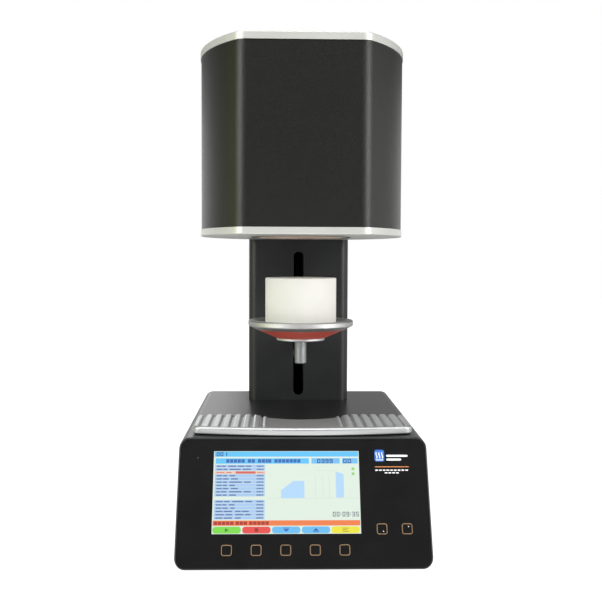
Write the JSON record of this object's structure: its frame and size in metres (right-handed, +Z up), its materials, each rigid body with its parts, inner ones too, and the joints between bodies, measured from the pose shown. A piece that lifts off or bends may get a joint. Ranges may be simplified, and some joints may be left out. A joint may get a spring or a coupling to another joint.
{
  "type": "bench-top ceramic kiln",
  "caption": "Bench-top porcelain kiln: a fixed heating head on a slotted column, a motor-lifted firing table, and a wedge base with display, keys and ribbed cooling tray.",
  "frame": {"origin": "middle of the bounding box, on the surface that the feet stand on", "axes": "+X to the right, +Y to the back, +Z up along the lift's travel; the control panel faces -Y"},
  "size_m": [0.265, 0.3999, 0.5611],
  "materials": {
    "black_paint": "satin black",
    "textured_black": "fine textured black",
    "gloss_black": "gloss black",
    "screen_glass": "lit colour display",
    "led_lens": "small lens",
    "cast_aluminium": "satin cast",
    "machined_aluminium": "machined",
    "silver_rim": "satin anodised",
    "polished_steel": "polished",
    "satin_steel": "satin turned",
    "bright_steel": "ground",
    "zinc_steel": "zinc plated",
    "dark_steel": "dark grey",
    "red_enamel": "red enamel",
    "white_ceramic": "matt, warm white",
    "pink_ceramic": "matt",
    "muffle_ceramic": "matt",
    "fibre": "ceramic fibre",
    "coil_wire": "oxidised wire",
    "copper": "drawn tube",
    "bronze": "machined",
    "board": "circuit board",
    "black_plastic": "moulded",
    "rubber": "matt"
  },
  "bodies": {
    "base": {"base_housing": "black_paint", "base_plate": "zinc_steel", "rubber_feet": "rubber", "plate_screws": "zinc_steel", "control_panel": "gloss_black", "status_led": "led_lens", "display_screen": "screen_glass", "display_frame": "zinc_steel", "key_board": "board", "cooling_tray": "cast_aluminium", "column_cover": "black_paint", "column_frame": "zinc_steel", "bearing_blocks": "machined_aluminium", "screw_bearings": "bright_steel", "guide_rods": "bright_steel", "lift_motor": "black_plastic", "limit_switches": "black_plastic", "head_plate": "silver_rim", "head_jacket": "textured_black", "head_cap": "silver_rim", "cap_screws": "zinc_steel", "tie_rods": "zinc_steel", "chamber_ring": "pink_ceramic", "chamber_seal": "rubber", "insulation_sleeve": "fibre", "heating_muffle": "muffle_ceramic", "heating_coil": "coil_wire", "insulation_lid": "fibre", "vacuum_vessel": "machined_aluminium", "thermocouple": "muffle_ceramic", "head_bracket": "zinc_steel", "vacuum_pipe": "copper", "vacuum_valve": "bronze", "mains_transformer": "dark_steel", "power_relay": "machined_aluminium", "control_board": "board", "mains_inlet": "black_plastic", "inlet_pins": "bright_steel", "hose_nipple": "bronze"},
    "screw": {"lead_screw": "dark_steel", "shaft_coupling": "machined_aluminium"},
    "lift": {"lift_carriage": "machined_aluminium", "guide_bushes": "bronze", "lift_nut": "bronze", "lift_arm": "dark_steel", "table_stem": "satin_steel", "table_collar": "polished_steel", "table_cone": "red_enamel", "table_insulation": "fibre", "firing_table": "polished_steel"},
    "pedestal": {"firing_pedestal": "white_ceramic"},
    "fuse_drawer": {"fuse_drawer": "black_plastic"},
    "power_switch": {"power_switch": "black_plastic"},
    "key_start": {"key_start": "gloss_black"},
    "key_escape": {"key_escape": "gloss_black"},
    "key_close": {"key_close": "gloss_black"},
    "key_open": {"key_open": "gloss_black"},
    "key_edit": {"key_edit": "gloss_black"},
    "key_down": {"key_down": "gloss_black"},
    "key_up": {"key_up": "gloss_black"}
  },
  "joints": [
    {"name": "lift_travel", "type": "slide", "parent": "base", "child": "lift", "axis": [0, 0, 1], "range_m": [-0.052, 0.0994]},
    {"name": "screw_turn", "type": "hinge", "parent": "base", "child": "screw", "pos_m": [0, 0.15, 0.1], "axis": [0, 0, 1], "range_deg": [-1880, 3590]},
    {"name": "pedestal_lift_off", "type": "slide", "parent": "lift", "child": "pedestal", "axis": [0, 0, 1], "range_m": [0, 0.045]},
    {"name": "key_start_press", "type": "slide", "parent": "base", "child": "key_start", "axis": [0, 0.9033, -0.4289], "range_m": [0, 0.0005], "stiffness_N_per_m": 400, "springref_m": -0.0005},
    {"name": "key_escape_press", "type": "slide", "parent": "base", "child": "key_escape", "axis": [0, 0.9033, -0.4289], "range_m": [0, 0.0005], "stiffness_N_per_m": 400, "springref_m": -0.0005},
    {"name": "key_close_press", "type": "slide", "parent": "base", "child": "key_close", "axis": [0, 0.9033, -0.4289], "range_m": [0, 0.0005], "stiffness_N_per_m": 400, "springref_m": -0.0005},
    {"name": "key_open_press", "type": "slide", "parent": "base", "child": "key_open", "axis": [0, 0.9033, -0.4289], "range_m": [0, 0.0005], "stiffness_N_per_m": 400, "springref_m": -0.0005},
    {"name": "key_edit_press", "type": "slide", "parent": "base", "child": "key_edit", "axis": [0, 0.9033, -0.4289], "range_m": [0, 0.0005], "stiffness_N_per_m": 400, "springref_m": -0.0005},
    {"name": "key_down_press", "type": "slide", "parent": "base", "child": "key_down", "axis": [0, 0.9033, -0.4289], "range_m": [0, 0.0005], "stiffness_N_per_m": 400, "springref_m": -0.0005},
    {"name": "key_up_press", "type": "slide", "parent": "base", "child": "key_up", "axis": [0, 0.9033, -0.4289], "range_m": [0, 0.0005], "stiffness_N_per_m": 400, "springref_m": -0.0005},
    {"name": "fuse_drawer_slide", "type": "slide", "parent": "base", "child": "fuse_drawer", "axis": [0, 1, 0], "range_m": [0, 0.018]},
    {"name": "power_switch_rock", "type": "hinge", "parent": "base", "child": "power_switch", "pos_m": [-0.07, 0.186, 0.082], "axis": [1, 0, 0], "range_deg": [0, 16]}
  ],
  "couplings": [
    {"joint": "screw_turn", "follows": "lift_travel", "rad_per_m": 628.32}
  ]
}
